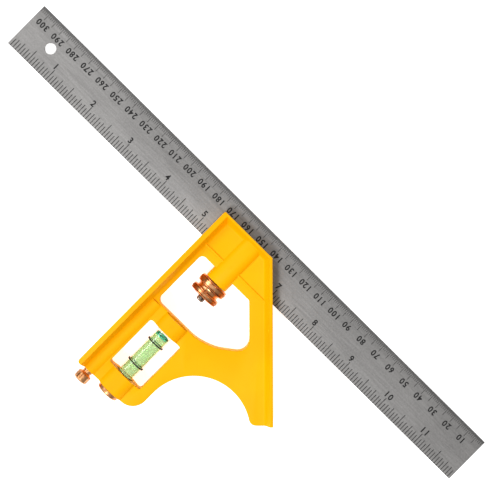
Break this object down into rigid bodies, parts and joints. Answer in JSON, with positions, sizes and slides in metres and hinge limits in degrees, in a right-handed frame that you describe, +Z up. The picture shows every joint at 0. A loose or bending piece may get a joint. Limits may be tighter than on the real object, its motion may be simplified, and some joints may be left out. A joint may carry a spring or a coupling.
{
  "type": "combination square",
  "caption": "Combination square: cast head with square and mitre faces sliding on a graduated steel rule, with clamp nut, level vial and scriber.",
  "frame": {"origin": "under the middle of the tool's box, on the surface it lies on", "axes": "+X along the rule from the inch zero end, +Y from the arm towards the rule's metric edge, +Z up through the head's thickness"},
  "size_m": [0.3048, 0.1184, 0.019],
  "materials": {
    "head_enamel": "satin yellow enamel on a die casting",
    "rule_steel": "satin chrome with black-filled graduations",
    "bolt_steel": "plain steel, threaded",
    "spring_steel": "bright wire",
    "brass": "turned and knurled, reddish brass",
    "vial_clear": "clear polished tube",
    "vial_spirit": "light green spirit",
    "white_plastic": "moulded",
    "rubber": "soft moulded disc",
    "index_black": "black line",
    "needle_steel": "ground point"
  },
  "bodies": {
    "head": {"square_head": "head_enamel", "vial_tube": "vial_clear", "vial_liquid": "vial_spirit", "vial_stopper": "white_plastic", "vial_cushion": "rubber", "vial_cap": "brass", "index_ring_upper": "index_black", "index_ring_lower": "index_black", "scriber_sleeve": "white_plastic"},
    "rule": {"blade": "rule_steel"},
    "draw_bolt": {"clamp_bolt": "bolt_steel", "clamp_spring": "spring_steel"},
    "thumb_nut": {"clamp_nut": "brass"},
    "scriber": {"scriber_knob": "brass", "scriber_needle": "needle_steel"}
  },
  "joints": [
    {"name": "rule_slide", "type": "slide", "parent": "head", "child": "rule", "axis": [1, 0, 0], "range_m": [-0.145, 0.145]},
    {"name": "nut_turn", "type": "hinge", "parent": "head", "child": "thumb_nut", "pos_m": [0.0015, 0.0214, 0.0095], "axis": [0, -1, 0], "range_deg": [0, 360]},
    {"name": "bolt_lift", "type": "slide", "parent": "head", "child": "draw_bolt", "axis": [0, 1, 0], "range_m": [0, 0.0008], "deforming": ["clamp_spring"]},
    {"name": "scriber_pull", "type": "slide", "parent": "head", "child": "scriber", "axis": [0, -1, 0], "range_m": [0, 0.042]}
  ],
  "couplings": [
    {"joint": "bolt_lift", "follows": "nut_turn", "m_per_rad": 0.000127}
  ]
}
